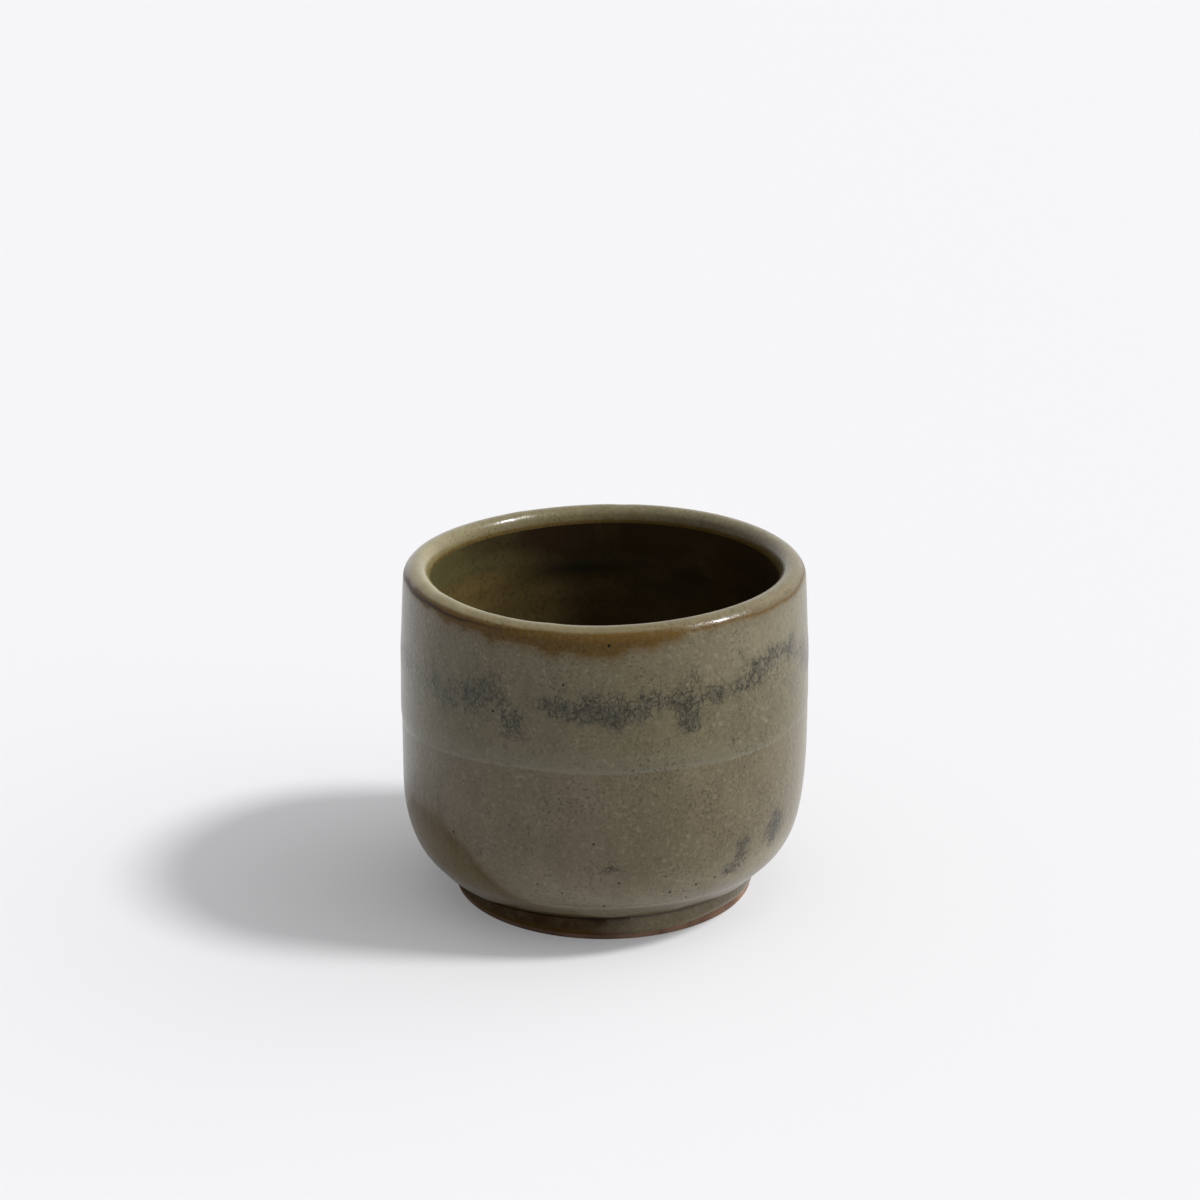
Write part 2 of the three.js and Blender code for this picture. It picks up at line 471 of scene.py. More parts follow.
@dataclass
class GlazeMap:
    """Where the glaze ran, broke thin, pooled and stained, as masks over the cup, with painted light and
    shade among them.

    A pair is where a step starts and ends, or the least and the most of a share.
    """

    clay: ClaySizes
    # The second dip's edge, which hangs on one side and melted away on another
    edge_height: float = 38.7
    edge_wander: float = 0.5
    edge_low: float = 3.4
    edge_hang: Side = Side(-165.0, 32.0)
    melt_in: Pair = (-52.0, -30.0)
    melt_out: Pair = (20.0, 60.0)
    melt_sharpness: Pair = (1.0, 6.0)
    edge_limits: Pair = (-4.0, 20.0)
    # The rust line and the brown wash on the lip
    line_climb: float = 28.0
    line_reach: float = 13.0
    line_share: Pair = (0.85, 1.35)
    burnt: Side = Side(-150.0, 38.0)
    wash_least: float = 0.6
    wash_edge: Pair = (-2.0, 1.3)
    wash_share: float = 0.95
    rim_above: float = 0.3
    rim_reach: float = 0.45
    rim_share: float = 0.7
    iron_most: float = 1.3
    # The lip's pale crest, paler to the left as painted reflection, painted shade on its inner side at the
    # back, and a painted highlight along its inner edge at the front
    crest_fade: float = 1.0
    crest_climb: Pair = (34.0, 54.0)
    crest_share: Pair = (0.25, 1.2)
    crest_reflection: Side = Side(-160.0, 50.0)
    lip_shade_depth: Pair = (0.0, 1.4)
    lip_shade_share: Pair = (0.3, 0.9)
    dark: Side = Side(55.0, 55.0)
    lip_shade_foot: float = 0.3
    glint_in: float = 0.65
    glint_reach: float = 0.3
    glint_share: Pair = (0.75, 1.0)
    wear_and_glint: Side = Side(-105.0, 68.0)
    glint_flatness: int = 4
    # The foot: painted shade on its side away from the light, its wiped edge and the crevice above it
    foot_blur: Pair = (-0.3, 0.3)
    foot_share: Pair = (0.05, 1.0)
    foot_lit_turn: float = -22.0
    shade_gap: Pair = (53.0, 80.0)
    shade_sway: float = 3.0
    shade_pitch: float = 2.1
    # The bare foot ring's painted shade, away from the light
    foot_shade_gap: Pair = (30.0, 95.0)
    foot_shade_most: float = 0.5
    # The wiped edge: rust deepened as painted shade on the shaded side, pale clay as painted light on the
    # lit side
    wiped_blur: Pair = (0.3, 1.4)
    wiped_rust_by_shade: Pair = (0.25, 0.9)
    wiped_lit_pale: float = 0.7
    bare: Side = Side(-40.0, 21.0)
    crevice_drop: float = 0.15
    crevice_width: float = 0.3
    crevice_pool: float = 0.34
    crevice_share: Pair = (0.6, 1.0)
    crevice_flatness: int = 4
    pool: Side = Side(-88.0, 13.0)
    # The heel's paler band, partly a paler glaze and partly painted light, and the thin patch low on the
    # left
    heel_height: float = 12.5
    heel_reach: float = 5.0
    heel_share: float = 0.55
    heel_loss: float = 0.85
    thin: Side = Side(-150.0, 45.0)
    thin_blur: Pair = (-1.4, 1.8)
    thin_rim: float = 2.0
    thin_rim_foot: float = 0.4
    # The inside: olive on the side that the key lights as painted light, darker elsewhere as painted shade
    liner_lit_turn: float = 205.0
    liner_lit_reach: Pair = (54.0, 94.0)
    liner_lit_depth: Pair = (5.0, 13.0)
    liner_green_depth: Pair = (7.0, 12.0)
    liner_floor_share: float = 0.35
    liner_floor_radius: Pair = (0.5, 16.0)
    # The marks on the unseen side
    seed: int = 7
    run_height: float = 51.5
    runs_most: float = 1.5
    stains_most: float = 2.0
    back_turns: Pair = (-19.0, 205.0)
    back_step: Pair = (6.0, 10.0)
    back_rise: Pair = (-3.0, 3.4)
    back_strength: Pair = (0.7, 1.1)
    drip_chance: float = 0.3
    drip_width: Pair = (2.2, 3.0)
    drip_height: Pair = (3.0, 4.2)
    pool_width: Pair = (3.2, 5.0)
    pool_height: Pair = (2.0, 3.2)
    stain_turns: tuple[float, ...] = (28.0, 95.0, 168.0)
    stain_place: Pair = (14.0, 24.0)
    stain_width: Pair = (1.8, 2.6)
    stain_height: Pair = (1.6, 3.0)
    stain_strength: float = 0.8
    runs: list[Blot] = field(init=False)
    stains: list[Blot] = field(init=False)

    FRONT_RUNS = (
        Blot(-147, 50.0, 4.6, 4.0, 0.42),
        Blot(-137, 48.8, 4.2, 3.6, 0.60),
        Blot(-128, 51.0, 3.4, 3.2, 0.85),
        Blot(-122, 53.0, 3.0, 2.8, 0.85),
        Blot(-115, 47.4, 2.6, 2.6, 1.05),
        Blot(-105, 51.8, 3.6, 2.0, 0.85),
        Blot(-98, 50.9, 3.6, 2.2, 0.95),
        Blot(-90, 51.2, 3.4, 2.2, 1.05),
        Blot(-88, 49.4, 1.8, 1.8, 0.90),
        Blot(-82, 50.9, 3.0, 2.0, 0.95),
        Blot(-75, 52.4, 3.6, 1.5, 0.80),
        Blot(-68, 50.6, 2.4, 2.4, 1.20),
        Blot(-67, 47.8, 1.7, 2.2, 1.7),
        Blot(-59, 52.2, 3.6, 1.5, 0.80),
        Blot(-51, 52.6, 3.8, 1.8, 0.80),
        Blot(-44, 54.2, 3.0, 2.6, 0.90),
        Blot(-37, 56.0, 2.6, 2.6, 0.95),
        Blot(-28, 55.6, 3.2, 2.4, 1.00),
        Blot(-66, 55.0, 8.0, 4.0, 0.22),
        Blot(-40, 50.0, 8.0, 5.0, 0.20),
        Blot(-52, 58.0, 8.0, 3.5, 0.18),
        Blot(-92, 54.0, 14.0, 3.5, 0.24),
        Blot(-135, 53.0, 12.0, 5.0, 0.22),
    )
    FRONT_STAINS = (
        Blot(-34, 20.3, 2.2, 3.2, 2.0),
        Blot(-48, 18.6, 2.0, 3.0, 1.15),
        Blot(-51, 15.0, 2.8, 1.8, 0.8),
        Blot(-89, 19.2, 2.4, 1.0, 0.75),
    )
    # Paler patches on the right, where the key falls: painted light, the one below the lip partly a paler
    # glaze
    PALE_LIT_PATCHES = (
        Blot(-47, 60.0, 19.0, 7.0, 0.42),
        Blot(-40, 13.0, 10.0, 6.0, 0.3),
        Blot(-9, 26.0, 8.0, 16.0, 0.4),
    )
    THINS = (Blot(62.0, 11.0, 14.0, 9.0, 0.9),)
    SMUDGES = (Blot(98, 54.0, 15.0, 2.0, 0.9), Blot(66, 50.0, 11.0, 1.6, 0.6))
    # Sides where the brown wash hangs below the lip, and how far
    WASHES = ((Side(-92.0, 24.0), 4.6), (Side(88.0, 30.0), 3.6), (Side(-134.0, 26.0), 2.8))
    # Shares of the wash lost over the lip's round, each between two climbs in degrees
    WASH_FADES = ((0.7, 38.0, 55.0), (0.3, 72.0, 92.0))
    # Upper edge of the thin patch: degrees from its middle, and height
    THIN_EDGE = (
        (-40, 3.0), (-25, 14.0), (-8, 24.2), (4, 23.6), (13, 21.6),
        (20, 19.0), (24, 15.0), (32, 11.0), (42, 8.5), (60, 5.2), (66, 3.0),
    )
    # Larger pinholes: angle, height and radius of the dark core
    PINHOLES = (
        (-121, 49.0, 0.30), (-101, 56.1, 0.26), (-89, 63.8, 0.30), (-136, 21.6, 0.28),
        (-93, 24.5, 0.26), (-102, 13.4, 0.22), (-109, 14.9, 0.22), (-90, 10.3, 0.30),
        (-63, 13.6, 0.28), (-57, 14.3, 0.26), (-65, 10.6, 0.22), (-71, 12.9, 0.26),
        (-86, 16.1, 0.24), (-76, 42.6, 0.20), (35, 47.0, 0.28), (110, 20.5, 0.28),
        (150, 55.0, 0.26), (74, 12.0, 0.24),
    )
    # Waves that keep each edge from running true: height, count to the turn and phase
    EDGE_WAVES = ((0.5, 2, 0.6), (0.3, 5, 1.9), (0.2, 9, 0.0))
    LINE_WAVES = ((5.0, 3, 0.5), (3.0, 7, 2.0), (2.0, 19, 0.0))
    WASH_WAVES = ((0.35, 23, 0.0), (0.3, 41, 1.0))
    THIN_WAVES = ((0.4, 17, 0.0), (0.3, 43, 1.0))
    CREVICE_WAVES = ((0.1, 4, 1.0), (0.08, 11, 0.0), (0.06, 29, 0.0))
    GLINT_FINE = (1.0, 37, 0.0)
    GLINT_BROAD = (1.0, 11, 1.0)

    def __post_init__(self) -> None:
        """Carries the marks on round the unseen side, in the same manner."""
        draw = np.random.default_rng(self.seed)
        self.runs = list(self.FRONT_RUNS)
        angle, end = self.back_turns
        while angle < end:
            height = self.run_height + draw.uniform(*self.back_rise)
            drip = draw.random() < self.drip_chance
            half_width = draw.uniform(*(self.drip_width if drip else self.pool_width))
            half_height = draw.uniform(*(self.drip_height if drip else self.pool_height))
            self.runs.append(Blot(angle, height, half_width, half_height, draw.uniform(*self.back_strength)))
            angle += draw.uniform(*self.back_step)
        self.stains = list(self.FRONT_STAINS)
        for turn in self.stain_turns:
            sizes = [draw.uniform(*span) for span in (self.stain_place, self.stain_width, self.stain_height)]
            self.stains.append(Blot(turn, *sizes, self.stain_strength))

    def edge(self, angle: Array) -> Array:
        """Height of the second dip's edge at each angle."""
        stray = self.edge_wander * ripple(angle, *self.EDGE_WAVES)
        return self.edge_height + stray - self.edge_low * self.edge_hang.at(angle)

    def melted(self, angle: Array) -> Array:
        """How far the second dip's edge melted away at each angle, on the right, from 0 to 1."""
        return smooth(angle, *self.melt_in) * (1 - smooth(angle, *self.melt_out))

    def bared(self, angle: Array) -> Array:
        """How far the foot is wiped higher than elsewhere at each angle, from 0 to 1."""
        return self.bare.at(angle)

    def shade_on_foot(self, angle: Array) -> Array:
        """How far the bare foot is darkened at each angle: painted shade, away from the light."""
        return self.foot_shade_most * smooth(np.abs(turn_gap(angle, self.foot_lit_turn)), *self.foot_shade_gap)

    def _patches(self, blots: list[Blot], angle: Array, height: Array) -> Array:
        """Sum of soft patches at each point."""
        return sum(blot.paint(angle, height, self.clay.belly_radius) for blot in blots)

    def _lip(self, angle: Array, height: Array, radius: Array) -> tuple[Array, ...]:
        """What the lip shows: its rust, its pale crest with painted reflection, painted shade inside and a
        painted edge highlight.
        """
        c = self.clay
        middle = c.rim_radius - c.lip_round
        inner = radius < middle
        depth = c.crest_height - height
        climb = np.degrees(np.arctan2(c.lip_round - depth, radius - middle))
        line = bell(climb - ripple(angle, *self.LINE_WAVES), self.line_climb, self.line_reach)
        line *= between(self.line_share, self.burnt.at(angle))
        wash_low = self.wash_least + ripple(angle, *self.WASH_WAVES)
        wash_low += sum(hang * side.at(angle) for side, hang in self.WASHES)
        wash = self.wash_share * (1 - smooth(depth - wash_low, *self.wash_edge))
        wash *= 1 - sum(lost * smooth(climb, start, end) for lost, start, end in self.WASH_FADES)
        rim = self.rim_share * bell(depth, c.lip_drop - self.rim_above, self.rim_reach)
        rust = np.where(inner, rim, np.maximum(line, wash))
        inner_crest = 1 - smooth(depth, c.lip_drop - self.crest_fade, c.lip_drop)
        crest = np.where(inner, inner_crest, smooth(climb, *self.crest_climb))
        # Painted reflection: the crest is paler towards the left
        crest *= between(self.crest_share, self.crest_reflection.at(angle))
        # Painted shade on the lip's inner side, deepest at the back right
        dark = inner * smooth(depth, *self.lip_shade_depth) * between(self.lip_shade_share, self.dark.at(angle))
        # Painted highlight along the inner edge of the lip's front
        wear_and_glint = inner * bell(middle - radius, self.glint_in, self.glint_reach)
        wear_and_glint *= self.wear_and_glint.at(angle, self.glint_flatness)
        wear_and_glint *= between(self.glint_share, ripple(angle, self.GLINT_FINE) * ripple(angle, self.GLINT_BROAD))
        return rust, crest, dark, wear_and_glint

    def _foot(self, angle: Array, height: Array) -> tuple[Array, ...]:
        """What the foot shows: painted shade away from the light, its crevice, and its wiped edge's rust and
        lit pale clay.
        """
        c = self.clay
        sway = self.shade_sway * np.sin(self.shade_pitch * height)
        shaded = smooth(np.abs(turn_gap(angle, self.foot_lit_turn)) + sway, *self.shade_gap)
        # Painted shade: the foot darkens away from the light
        dark = (1 - smooth(height - c.foot_height, *self.foot_blur)) * between(self.foot_share, shaded)
        width = self.crevice_width + self.crevice_pool * self.pool.at(angle)
        width += ripple(angle, *self.CREVICE_WAVES)
        crevice = bell(height, c.foot_height - self.crevice_drop, width, self.crevice_flatness)
        # The crevice's dark glaze is deepened as painted shade on the shaded side
        crevice *= between(self.crevice_share, shaded)
        wiped = 1 - smooth(height - c.wiped_height, *self.wiped_blur)
        # Painted light and shade: the wiped edge rusts darker in shade and shows pale clay where lit
        rust = wiped * between(self.wiped_rust_by_shade, shaded)
        return dark, crevice, rust, self.wiped_lit_pale * wiped * (1 - shaded)

    def masks(self, angle: Array, height: Array, radius: Array) -> dict[Mask, Array]:
        """All masks at points of the outside, on the true turned shape.

        Args:
            angle: Angles round the cup.
            height: Heights on the cup.
            radius: Distances from the axis.

        Returns:
            Each mask's strength at each point.
        """
        lip_rust, crest, lip_shade, wear_and_glint = self._lip(angle, height, radius)
        foot, crevice, foot_rust, foot_lit_pale = self._foot(angle, height)
        # The heel's paler band: partly a paler glaze, partly painted light
        heel = self.heel_share * bell(height, self.heel_height, self.heel_reach)
        heel *= 1 - self.heel_loss * self.thin.at(angle)
        thin_edge = np.interp(turn_gap(angle, self.thin.turn), *zip(*self.THIN_EDGE))
        over_thin = height - thin_edge - ripple(angle, *self.THIN_WAVES)
        patch = (1 - smooth(over_thin, *self.thin_blur)) * (height > self.clay.foot_height)
        # The lip's painted shade also takes the foot's dark colour
        foot += self.lip_shade_foot * lip_shade
        foot += self.thin_rim_foot * patch * bell(over_thin, -self.thin_rim, self.thin_rim)
        thins = self._patches(self.THINS, angle, height)
        pale_lit_patches = self._patches(self.PALE_LIT_PATCHES, angle, height)
        over_edge = (height - self.edge(angle)) * between(self.melt_sharpness, self.melted(angle))
        return {
            Mask.RUNS: np.clip(self._patches(self.runs, angle, height), 0, self.runs_most),
            Mask.STAIN: np.clip(self._patches(self.stains, angle, height), 0, self.stains_most),
            Mask.IRON: np.clip(np.maximum(lip_rust, foot_rust), 0, self.iron_most),
            # THIN also carries the lip's painted shade
            Mask.THIN: np.clip(thins + patch + lip_shade, 0, 1),
            Mask.OVER_EDGE: np.clip(over_edge, *self.edge_limits),
            Mask.CREVICE: np.clip(crevice, 0, 1),
            Mask.FOOT: np.clip(foot, 0, 1),
            # PALE gathers painted light: the heel, the lip's edge highlight, the lit bare edge and the lit
            # patches
            Mask.PALE: np.clip(heel + wear_and_glint + foot_lit_pale + pale_lit_patches, 0, 1),
            Mask.LIP: crest,
        }

    def liner_masks(
        self, angle: Array, height: Array, radius: Array
    ) -> dict[Mask, Array]:
        """Masks of the inside: painted light on the side that the key lights, its smudges, and the band
        below the lip.

        Args:
            angle: Angles round the cup.
            height: Heights on the cup.
            radius: Distances from the axis.

        Returns:
            Each mask's strength at each point.
        """
        depth = self.clay.crest_height - height
        # Painted light: the liner is paler on the side that the key lights
        reach = between(self.liner_lit_reach, smooth(depth, *self.liner_lit_depth))
        side = bell(turn_gap(angle, self.liner_lit_turn), 0, reach)
        # Round the middle of the floor, the sides run together
        shared = self.liner_floor_share
        return {
            Mask.THIN: shared + (side - shared) * smooth(radius, *self.liner_floor_radius),
            Mask.STAIN: self._patches(self.SMUDGES, angle, height),
            Mask.LIP: 1 - smooth(depth, *self.liner_green_depth),
        }


def fill(tree: Tree, node: bpy.types.Node, inputs: dict[str | int, Any]) -> None:
    """Sets or links a node's inputs.

    Args:
        tree: The node tree.
        node: The node.
        inputs: What each input socket holds, by name or place: a value, or an output socket to link.
    """
    for key, value in inputs.items():
        if isinstance(value, Socket):
            tree.links.new(value, node.inputs[key])
        else:
            node.inputs[key].default_value = value


def add_node(
    tree: Tree,
    kind: str,
    settings: dict[str, Any] | None = None,
    inputs: dict[str | int, Any] | None = None,
) -> bpy.types.Node:
    """Adds a node with its settings and links.

    Args:
        tree: The node tree to add to.
        kind: The node's type, without the leading "ShaderNode".
        settings: The node's own properties by name.
        inputs: What each input socket holds, by name or place.

    Returns:
        The new node.
    """
    node = tree.nodes.new("ShaderNode" + kind)
    for name, value in (settings or {}).items():
        setattr(node, name, value)
    fill(tree, node, inputs or {})
    return node


@dataclass
class Graph:
    """A node tree, emptied, with the steps of arithmetic that finishes and lights share."""

    tree: Tree

    def __post_init__(self) -> None:
        """Empties the tree."""
        self.tree.nodes.clear()

    def ramp(self, value: Socket, start: float, end: float, low: float = 0.0, high: float = 1.0) -> Socket:
        """Carries a value from between start and end to between low and high, and holds it there."""
        inputs = {0: value, 1: start, 2: end, 3: low, 4: high}
        return add_node(self.tree, "MapRange", inputs=inputs).outputs[0]

    def maths(self, operation: str, *values: Socket | float, clamp: bool = False) -> Socket:
        """One step of arithmetic, held between 0 and 1 if clamped."""
        settings = {"operation": operation, "use_clamp": clamp}
        return add_node(self.tree, "Math", settings, dict(enumerate(values))).outputs[0]

    def seen(self) -> Socket:
        """One for what the eye sees, straight, mirrored or through glass, and zero for light on the cup."""
        ray = add_node(self.tree, "LightPath").outputs
        switch = self.maths("ADD", ray["Is Camera Ray"], ray["Is Glossy Ray"])
        return self.maths("ADD", switch, ray["Is Transmission Ray"], clamp=True)


class Brush(Graph):
    """Builds one material: a shader, the place in millimetres, and a colour that is laid coat by coat."""

    def __init__(self, name: str, ground: str) -> None:
        """Starts a material.

        Args:
            name: The material's name.
            ground: The colour under all others.
        """
        self.material = bpy.data.materials.new(name)
        self.material.use_nodes = True
        super().__init__(self.material.node_tree)
        self.shader = add_node(self.tree, "BsdfPrincipled")
        add_node(self.tree, "OutputMaterial", inputs={"Surface": self.shader.outputs["BSDF"]})
        self.coat: Any = linear(ground)
        self.mm = self.scaled(add_node(self.tree, "TexCoord").outputs["Object"], (1 / MM,) * 3)

    def scaled(self, vector: Socket, scale: tuple[float, float, float]) -> Socket:
        """A vector scaled along its axes."""
        return add_node(self.tree, "Mapping", inputs={"Vector": vector, "Scale": scale}).outputs[0]

    def drawn(self, upright: float) -> Socket:
        """The place in millimetres with its height scaled, so that noise on it is drawn tall or flat."""
        return self.scaled(self.mm, (1, 1, upright))

    def mask(self, mask: Mask) -> Socket:
        """A mask painted on the mesh."""
        return add_node(self.tree, "Attribute", {"attribute_name": mask.value}).outputs["Fac"]

    def noise(self, wide: float, detail: float, rough: float = 0.5, on: Socket | None = None) -> Socket:
        """Noise whose lumps are as many millimetres wide as given, on the place or another vector."""
        vector = self.mm if on is None else on
        inputs = {"Vector": vector, "Scale": 1 / wide, "Detail": detail, "Roughness": rough}
        return add_node(self.tree, "TexNoise", inputs=inputs).outputs[0]

    def blend(self, amount: Socket, first: Socket | float, second: float) -> Socket:
        """A number that goes from the first to the second as the amount rises."""
        inputs = {0: amount, 2: first, 3: second}
        return add_node(self.tree, "Mix", {"data_type": "FLOAT"}, inputs).outputs[0]

    def most(self, values: list[Socket]) -> Socket:
        """The largest of several numbers."""
        return reduce(lambda first, second: self.maths("MAXIMUM", first, second), values)

    def lay(self, amount: Socket, colour: str) -> None:
        """Lays a colour over the coat so far."""
        inputs = {0: amount, 6: self.coat, 7: linear(colour)}
        self.coat = add_node(self.tree, "Mix", {"data_type": "RGBA"}, inputs).outputs[2]

    def finish(
        self, relief: Socket, depth: float, strength: Socket | float, gloss: dict[str, Any]
    ) -> Material:
        """Gives the shader its colour, its fine relief and its gloss.

        Args:
            relief: Height of the relief, from 0 to 1.
            depth: Depth of the relief, in millimetres.
            strength: How much of the relief shows.
            gloss: The shader's own sockets by name.

        Returns:
            The finished material.
        """
        inputs = {"Strength": strength, "Distance": depth * MM, "Height": relief}
        bump = add_node(self.tree, "Bump", inputs=inputs)
        fill(self.tree, self.shader, {"Base Color": self.coat, "Normal": bump.outputs[0], **gloss})
        return self.material


@dataclass(frozen=True)
class GlazeFinish:
    """Satin iron glaze, dipped and fired: olive where it lies even, rust where it breaks thin over an edge,
    blue-grey and netted where it ran thick, with fine iron specks and a few pinholes; its masks also lay
    painted light and shade on the lip, heel and foot.
    """

    holes: tuple[tuple[tuple[float, float, float], float], ...]
    name: str = "satin_iron_glaze"
    lower: str = "#685e48"
    upper: str = "#655e45"
    shade: str = "#50462f"
    bloom: str = "#8b826a"
    edge: str = "#6f6a59"
    line: str = "#7d796a"
    iron: str = "#533a05"
    burnt: str = "#2c1800"
    # Also laid as painted shade on the lip's inner side
    thin: str = "#5c4c22"
    # Laid mostly as painted light
    pale: str = "#8d846c"
    # The crest's colour, laid paler to the left as painted reflection
    lip: str = "#877d59"
    haze: str = "#3f4033"
    run: str = "#1b1602"
    # Painted shade on the foot's and the lip's sides away from the light
    foot: str = "#35210f"
    # The crevice: dark pooled glaze, deepened as painted shade
    gap: str = "#0b0a06"
    speck: str = "#261d10"
    pinhole: str = "#070504"
    roughness: float = 0.3
    lip_roughness: float = 0.15
    run_roughness: float = 0.34
    hole_roughness: float = 0.9
    ior: float = 1.5
    specular: float = 0.24
    skin: float = 0.22
    skin_roughness: float = 0.12
    peel_depth: float = 0.09
    lip_peel: float = 0.15
    lip_specks: float = 0.2
    # Where a pinhole's core ends and its rim fades out, as shares of its radius
    hole_edge: Pair = (0.7, 1.35)

    def material(self) -> Material:
        """Builds the glaze's node tree."""
        brush = Brush(self.name, self.lower)
        mask = {m: brush.mask(m) for m in Mask}
        fine = brush.noise(wide=0.9, detail=4.0, rough=0.65)
        self._ground(brush, mask[Mask.OVER_EDGE])
        self._breaks(brush, mask, fine)
        net = self._runs(brush, mask, fine)
        self._specks(brush, mask[Mask.LIP])
        hole = self._pinholes(brush)
        rough = brush.blend(net, self.roughness, self.run_roughness)
        rough = brush.blend(mask[Mask.LIP], rough, self.lip_roughness)
        gloss = {
            "Roughness": brush.blend(hole, rough, self.hole_roughness),
            "IOR": self.ior,
            "Specular IOR Level": self.specular,
            "Coat Weight": self.skin,
            "Coat Roughness": self.skin_roughness,
        }
        peel = brush.noise(wide=0.9, detail=3.0, rough=0.55)
        shown = brush.ramp(mask[Mask.LIP], 0.0, 1.0, 1.0, self.lip_peel)
        return brush.finish(peel, self.peel_depth, shown, gloss)

    def _ground(self, brush: Brush, over: Socket) -> None:
        """Lays the even coats: the browner first coat, the olive second dip and the pale line at its edge.

        Args:
            brush: The material being built.
            over: Height above the second dip's edge.
        """
        dipped = brush.ramp(over, -0.3, 0.3)
        brush.lay(dipped, self.upper)
        drawn = brush.drawn(0.45)
        # Slow clouds, streaks, fine curdling and paler bloom: width in millimetres, noise range, strength
        for vector, wide, start, end, amount, colour in (
            (drawn, 15, 0.42, 0.66, 0.5, self.shade),
            (drawn, 2.6, 0.45, 0.7, 0.4, self.shade),
            (brush.mm, 0.7, 0.48, 0.68, 0.55, self.shade),
            (brush.mm, 0.95, 0.54, 0.72, 0.4, self.bloom),
        ):
            cloud = brush.noise(wide, detail=3.0, rough=0.6, on=vector)
            brush.lay(brush.ramp(cloud, start, end, 0.0, amount), colour)
        # The pale band above the dip's edge and the line along it: where faded, where full, strength
        for faded, full, amount, colour in ((5.5, 0.2, 0.5, self.edge), (1.0, 0.35, 0.2, self.line)):
            near = brush.ramp(over, faded, full, 0.0, amount)
            brush.lay(brush.maths("MULTIPLY", near, dipped), colour)

    def _breaks(self, brush: Brush, mask: dict[Mask, Socket], fine: Socket) -> None:
        """Lays what depends on the form: the pale lip, painted light, rust where thin, painted shade on the
        foot, and the crevice.

        Args:
            brush: The material being built.
            mask: The painted masks.
            fine: Fine noise that breaks the rust up.
        """
        patchy = brush.noise(wide=4.5, detail=4.0, rough=0.6)
        wear_and_glint = brush.ramp(patchy, 0.3, 0.65, 0.45, 1.0)
        broken = brush.ramp(fine, 0.3, 0.6, 0.7, 1.0)
        # PALE lays mostly painted light; THIN and FOOT lay painted shade as well as thin glaze and the
        # foot's colour
        for layer, break_up, colour in (
            (Mask.LIP, wear_and_glint, self.lip),
            (Mask.PALE, wear_and_glint, self.pale),
            (Mask.THIN, wear_and_glint, self.thin),
            (Mask.FOOT, wear_and_glint, self.foot),
            (Mask.IRON, broken, self.iron),
        ):
            brush.lay(brush.maths("MULTIPLY", mask[layer], break_up), colour)
        brush.lay(brush.ramp(mask[Mask.IRON], 0.92, 1.25, 0.0, 0.95), self.burnt)
        # The crevice: dark pooled glaze, deepened as painted shade
        brush.lay(mask[Mask.CREVICE], self.gap)

    def _runs(self, brush: Brush, mask: dict[Mask, Socket], fine: Socket) -> Socket:
        """Lays the dark netted runs and the blue-grey stains over the coat.

        Args:
            brush: The material being built.
            mask: The painted masks.
            fine: Fine noise that frays the runs.

        Returns:
            The runs' own strength.
        """
        drawn = brush.drawn(0.7)
        sway = brush.noise(wide=0.9, detail=3.0, on=drawn).node.outputs["Color"]
        swayed = {"data_type": "RGBA", "blend_type": "LINEAR_LIGHT"}
        pulled = add_node(brush.tree, "Mix", swayed, {0: 0.7, 6: drawn, 7: sway}).outputs[2]
        fray = brush.noise(wide=3.2, detail=5.0, rough=0.7, on=drawn)
        reach = brush.maths("MAXIMUM", mask[Mask.RUNS], mask[Mask.STAIN])
        run = brush.maths("ADD", reach, brush.maths("MULTIPLY_ADD", fray, 2.0, -1.0))
        brush.lay(brush.ramp(run, 0.3, 1.9, 0.0, 0.95), self.haze)
        broken = brush.ramp(fine, 0.38, 0.55, 0.25, 1.0)
        net = brush.maths("MULTIPLY", brush.ramp(run, 0.12, 0.75), broken)
        veins = []
        # Two nets of veins: width of a cell in millimetres, and reach of a vein into it
        for cell, vein in ((2.1, 0.085), (1.25, 0.105)):
            inputs = {"Vector": pulled, "Scale": 1 / cell}
            cells = add_node(brush.tree, "TexVoronoi", {"feature": "DISTANCE_TO_EDGE"}, inputs)
            veins.append(brush.ramp(cells.outputs["Distance"], 0.02, vein, 1.0, 0.0))
        net = brush.maths("MULTIPLY", net, brush.most(veins))
        clot = brush.noise(wide=0.8, detail=3.0, rough=0.6, on=drawn)
        feather = brush.noise(wide=0.6, detail=2.0, on=brush.drawn(0.12))
        # Clots in the thick of a run, and feathers drawn down from it: noise range, run's range, strength
        for grain, start, end, low, high, amount in (
            (clot, 0.5, 0.62, 0.75, 1.4, 0.75),
            (feather, 0.53, 0.66, 0.15, 0.95, 0.4),
        ):
            thick = brush.ramp(run, low, high, 0.0, amount)
            net = brush.most([net, brush.maths("MULTIPLY", brush.ramp(grain, start, end), thick)])
        brush.lay(net, self.run)
        return net

    def _specks(self, brush: Brush, lip: Socket) -> None:
        """Scatters iron specks a third to half a millimetre wide, thicker in some places, few on the lip.

        Args:
            brush: The material being built.
            lip: Mask of the lip.
        """
        speck = brush.ramp(brush.noise(wide=0.55, detail=2.0), 0.54, 0.66)
        thick = brush.ramp(brush.noise(wide=9, detail=2.0), 0.35, 0.65, 0.1, 0.55)
        off_lip = brush.ramp(lip, 0.0, 1.0, 1.0, self.lip_specks)
        brush.lay(brush.maths("MULTIPLY", brush.maths("MULTIPLY", speck, thick), off_lip), self.speck)

